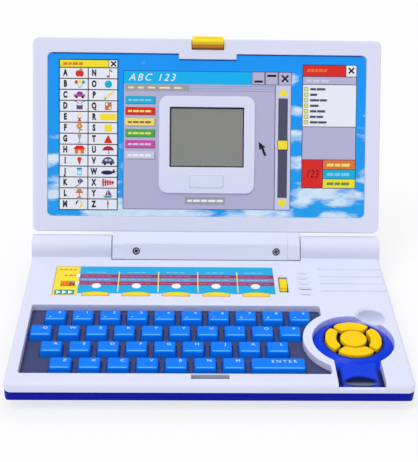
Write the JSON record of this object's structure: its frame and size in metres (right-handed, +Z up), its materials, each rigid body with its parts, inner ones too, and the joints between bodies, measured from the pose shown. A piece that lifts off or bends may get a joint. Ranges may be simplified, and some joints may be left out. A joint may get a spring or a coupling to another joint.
{
  "type": "toy laptop computer",
  "caption": "Hinged toy laptop with a picture screen round a small display, blue letter keys, a round yellow direction pad, mode buttons and a top latch.",
  "frame": {"origin": "on the surface that the feet stand on, at the middle of the open laptop's width and depth", "axes": "+X to the user's right, +Y away from the user towards the hinge and lid, +Z up"},
  "size_m": [0.27, 0.2486, 0.1721],
  "materials": {
    "shell_white": "satin moulded ABS, faintly lavender white",
    "shell_blue": "satin moulded ABS",
    "plate_slate": "fine moulded grain",
    "insert_blue": "gloss moulded ABS",
    "strip_print": "printed film",
    "card_print": "printed film",
    "lcd_grey": "reflective liquid-crystal display",
    "steel": "zinc plated",
    "steel_dark": "dull plated",
    "rubber_black": "matt",
    "rubber_grey": "matt silicone",
    "circuit_board": "solder mask",
    "speaker_black": "paper cone in a moulded frame",
    "battery_case": "plain sleeve",
    "latch_yellow": "moulded plastic",
    "switch_orange": "moulded plastic",
    "wheel_yellow": "moulded plastic, ribbed rim",
    "mode_yellow": "moulded plastic",
    "pad_yellow": "moulded plastic",
    "key_blue": "moulded plastic"
  },
  "bodies": {
    "base": {"base_bottom": "shell_blue", "base_top": "shell_white", "key_plate": "plate_slate", "pad_insert": "insert_blue", "strip_label": "strip_print", "battery_door": "shell_blue", "bottom_screws": "steel", "feet": "rubber_black", "main_board": "circuit_board", "speaker": "speaker_black", "batteries": "battery_case", "battery_contacts": "steel", "key_membrane": "rubber_grey"},
    "lid": {"lid_front": "shell_white", "lid_back": "shell_white", "screen_card": "card_print", "lcd_panel": "lcd_grey", "lcd_board": "circuit_board", "lid_screws": "steel_dark"},
    "latch": {"latch": "latch_yellow"},
    "power_switch": {"power_switch": "switch_orange"},
    "volume_wheel": {"volume_wheel": "wheel_yellow"},
    "mode_button_1": {"mode_button_1": "mode_yellow"},
    "mode_button_2": {"mode_button_2": "mode_yellow"},
    "mode_button_3": {"mode_button_3": "mode_yellow"},
    "mode_button_4": {"mode_button_4": "mode_yellow"},
    "mode_button_5": {"mode_button_5": "mode_yellow"},
    "pad_up": {"pad_up": "pad_yellow"},
    "pad_left": {"pad_left": "pad_yellow"},
    "pad_down": {"pad_down": "pad_yellow"},
    "pad_right": {"pad_right": "pad_yellow"},
    "pad_centre": {"pad_centre": "pad_yellow"},
    "number_keys": {"number_keys": "key_blue"},
    "key_enter": {"key_enter": "key_blue"},
    "key_Q": {"key_Q": "key_blue"},
    "key_W": {"key_W": "key_blue"},
    "key_E": {"key_E": "key_blue"},
    "key_R": {"key_R": "key_blue"},
    "key_T": {"key_T": "key_blue"},
    "key_Y": {"key_Y": "key_blue"},
    "key_U": {"key_U": "key_blue"},
    "key_I": {"key_I": "key_blue"},
    "key_O": {"key_O": "key_blue"},
    "key_P": {"key_P": "key_blue"},
    "key_A": {"key_A": "key_blue"},
    "key_S": {"key_S": "key_blue"},
    "key_D": {"key_D": "key_blue"},
    "key_F": {"key_F": "key_blue"},
    "key_G": {"key_G": "key_blue"},
    "key_H": {"key_H": "key_blue"},
    "key_J": {"key_J": "key_blue"},
    "key_K": {"key_K": "key_blue"},
    "key_L": {"key_L": "key_blue"},
    "key_Z": {"key_Z": "key_blue"},
    "key_X": {"key_X": "key_blue"},
    "key_C": {"key_C": "key_blue"},
    "key_V": {"key_V": "key_blue"},
    "key_B": {"key_B": "key_blue"},
    "key_N": {"key_N": "key_blue"},
    "key_M": {"key_M": "key_blue"}
  },
  "joints": [
    {"name": "lid_hinge", "type": "hinge", "parent": "base", "child": "lid", "pos_m": [0, 0.04275, 0.0255], "axis": [1, 0, 0], "range_deg": [-8, 117.4]},
    {"name": "latch_slide", "type": "slide", "parent": "lid", "child": "latch", "axis": [0, -0.4602, -0.8878], "range_m": [0, 0.0013], "stiffness_N_per_m": 300, "springref_m": -0.001},
    {"name": "power_slide", "type": "slide", "parent": "base", "child": "power_switch", "axis": [1, 0, 0], "range_m": [0, 0.0028]},
    {"name": "volume_turn", "type": "hinge", "parent": "base", "child": "volume_wheel", "pos_m": [0.0571, -0.00175, 0.0136], "axis": [1, 0, 0], "range_deg": [-140, 140]},
    {"name": "mode_button_1_press", "type": "slide", "parent": "base", "child": "mode_button_1", "axis": [0, 0, -1], "range_m": [0, 0.001], "stiffness_N_per_m": 400, "springref_m": -0.0005},
    {"name": "mode_button_2_press", "type": "slide", "parent": "base", "child": "mode_button_2", "axis": [0, 0, -1], "range_m": [0, 0.001], "stiffness_N_per_m": 400, "springref_m": -0.0005},
    {"name": "mode_button_3_press", "type": "slide", "parent": "base", "child": "mode_button_3", "axis": [0, 0, -1], "range_m": [0, 0.001], "stiffness_N_per_m": 400, "springref_m": -0.0005},
    {"name": "mode_button_4_press", "type": "slide", "parent": "base", "child": "mode_button_4", "axis": [0, 0, -1], "range_m": [0, 0.001], "stiffness_N_per_m": 400, "springref_m": -0.0005},
    {"name": "mode_button_5_press", "type": "slide", "parent": "base", "child": "mode_button_5", "axis": [0, 0, -1], "range_m": [0, 0.001], "stiffness_N_per_m": 400, "springref_m": -0.0005},
    {"name": "pad_up_press", "type": "slide", "parent": "base", "child": "pad_up", "axis": [0, 0, -1], "range_m": [0, 0.0012], "stiffness_N_per_m": 400, "springref_m": -0.0005},
    {"name": "pad_left_press", "type": "slide", "parent": "base", "child": "pad_left", "axis": [0, 0, -1], "range_m": [0, 0.0012], "stiffness_N_per_m": 400, "springref_m": -0.0005},
    {"name": "pad_down_press", "type": "slide", "parent": "base", "child": "pad_down", "axis": [0, 0, -1], "range_m": [0, 0.0012], "stiffness_N_per_m": 400, "springref_m": -0.0005},
    {"name": "pad_right_press", "type": "slide", "parent": "base", "child": "pad_right", "axis": [0, 0, -1], "range_m": [0, 0.0012], "stiffness_N_per_m": 400, "springref_m": -0.0005},
    {"name": "pad_centre_press", "type": "slide", "parent": "base", "child": "pad_centre", "axis": [0, 0, -1], "range_m": [0, 0.0012], "stiffness_N_per_m": 400, "springref_m": -0.0005},
    {"name": "number_keys_press", "type": "slide", "parent": "base", "child": "number_keys", "axis": [0, 0, -1], "range_m": [0, 0.0015], "stiffness_N_per_m": 3000, "springref_m": -0.0005},
    {"name": "key_enter_press", "type": "slide", "parent": "base", "child": "key_enter", "axis": [0, 0, -1], "range_m": [0, 0.0015], "stiffness_N_per_m": 400, "springref_m": -0.0005},
    {"name": "key_Q_press", "type": "slide", "parent": "base", "child": "key_Q", "axis": [0, 0, -1], "range_m": [0, 0.0015], "stiffness_N_per_m": 300, "springref_m": -0.0005},
    {"name": "key_W_press", "type": "slide", "parent": "base", "child": "key_W", "axis": [0, 0, -1], "range_m": [0, 0.0015], "stiffness_N_per_m": 300, "springref_m": -0.0005},
    {"name": "key_E_press", "type": "slide", "parent": "base", "child": "key_E", "axis": [0, 0, -1], "range_m": [0, 0.0015], "stiffness_N_per_m": 300, "springref_m": -0.0005},
    {"name": "key_R_press", "type": "slide", "parent": "base", "child": "key_R", "axis": [0, 0, -1], "range_m": [0, 0.0015], "stiffness_N_per_m": 300, "springref_m": -0.0005},
    {"name": "key_T_press", "type": "slide", "parent": "base", "child": "key_T", "axis": [0, 0, -1], "range_m": [0, 0.0015], "stiffness_N_per_m": 300, "springref_m": -0.0005},
    {"name": "key_Y_press", "type": "slide", "parent": "base", "child": "key_Y", "axis": [0, 0, -1], "range_m": [0, 0.0015], "stiffness_N_per_m": 300, "springref_m": -0.0005},
    {"name": "key_U_press", "type": "slide", "parent": "base", "child": "key_U", "axis": [0, 0, -1], "range_m": [0, 0.0015], "stiffness_N_per_m": 300, "springref_m": -0.0005},
    {"name": "key_I_press", "type": "slide", "parent": "base", "child": "key_I", "axis": [0, 0, -1], "range_m": [0, 0.0015], "stiffness_N_per_m": 300, "springref_m": -0.0005},
    {"name": "key_O_press", "type": "slide", "parent": "base", "child": "key_O", "axis": [0, 0, -1], "range_m": [0, 0.0015], "stiffness_N_per_m": 300, "springref_m": -0.0005},
    {"name": "key_P_press", "type": "slide", "parent": "base", "child": "key_P", "axis": [0, 0, -1], "range_m": [0, 0.0015], "stiffness_N_per_m": 300, "springref_m": -0.0005},
    {"name": "key_A_press", "type": "slide", "parent": "base", "child": "key_A", "axis": [0, 0, -1], "range_m": [0, 0.0015], "stiffness_N_per_m": 300, "springref_m": -0.0005},
    {"name": "key_S_press", "type": "slide", "parent": "base", "child": "key_S", "axis": [0, 0, -1], "range_m": [0, 0.0015], "stiffness_N_per_m": 300, "springref_m": -0.0005},
    {"name": "key_D_press", "type": "slide", "parent": "base", "child": "key_D", "axis": [0, 0, -1], "range_m": [0, 0.0015], "stiffness_N_per_m": 300, "springref_m": -0.0005},
    {"name": "key_F_press", "type": "slide", "parent": "base", "child": "key_F", "axis": [0, 0, -1], "range_m": [0, 0.0015], "stiffness_N_per_m": 300, "springref_m": -0.0005},
    {"name": "key_G_press", "type": "slide", "parent": "base", "child": "key_G", "axis": [0, 0, -1], "range_m": [0, 0.0015], "stiffness_N_per_m": 300, "springref_m": -0.0005},
    {"name": "key_H_press", "type": "slide", "parent": "base", "child": "key_H", "axis": [0, 0, -1], "range_m": [0, 0.0015], "stiffness_N_per_m": 300, "springref_m": -0.0005},
    {"name": "key_J_press", "type": "slide", "parent": "base", "child": "key_J", "axis": [0, 0, -1], "range_m": [0, 0.0015], "stiffness_N_per_m": 300, "springref_m": -0.0005},
    {"name": "key_K_press", "type": "slide", "parent": "base", "child": "key_K", "axis": [0, 0, -1], "range_m": [0, 0.0015], "stiffness_N_per_m": 300, "springref_m": -0.0005},
    {"name": "key_L_press", "type": "slide", "parent": "base", "child": "key_L", "axis": [0, 0, -1], "range_m": [0, 0.0015], "stiffness_N_per_m": 300, "springref_m": -0.0005},
    {"name": "key_Z_press", "type": "slide", "parent": "base", "child": "key_Z", "axis": [0, 0, -1], "range_m": [0, 0.0015], "stiffness_N_per_m": 300, "springref_m": -0.0005},
    {"name": "key_X_press", "type": "slide", "parent": "base", "child": "key_X", "axis": [0, 0, -1], "range_m": [0, 0.0015], "stiffness_N_per_m": 300, "springref_m": -0.0005},
    {"name": "key_C_press", "type": "slide", "parent": "base", "child": "key_C", "axis": [0, 0, -1], "range_m": [0, 0.0015], "stiffness_N_per_m": 300, "springref_m": -0.0005},
    {"name": "key_V_press", "type": "slide", "parent": "base", "child": "key_V", "axis": [0, 0, -1], "range_m": [0, 0.0015], "stiffness_N_per_m": 300, "springref_m": -0.0005},
    {"name": "key_B_press", "type": "slide", "parent": "base", "child": "key_B", "axis": [0, 0, -1], "range_m": [0, 0.0015], "stiffness_N_per_m": 300, "springref_m": -0.0005},
    {"name": "key_N_press", "type": "slide", "parent": "base", "child": "key_N", "axis": [0, 0, -1], "range_m": [0, 0.0015], "stiffness_N_per_m": 300, "springref_m": -0.0005},
    {"name": "key_M_press", "type": "slide", "parent": "base", "child": "key_M", "axis": [0, 0, -1], "range_m": [0, 0.0015], "stiffness_N_per_m": 300, "springref_m": -0.0005}
  ]
}
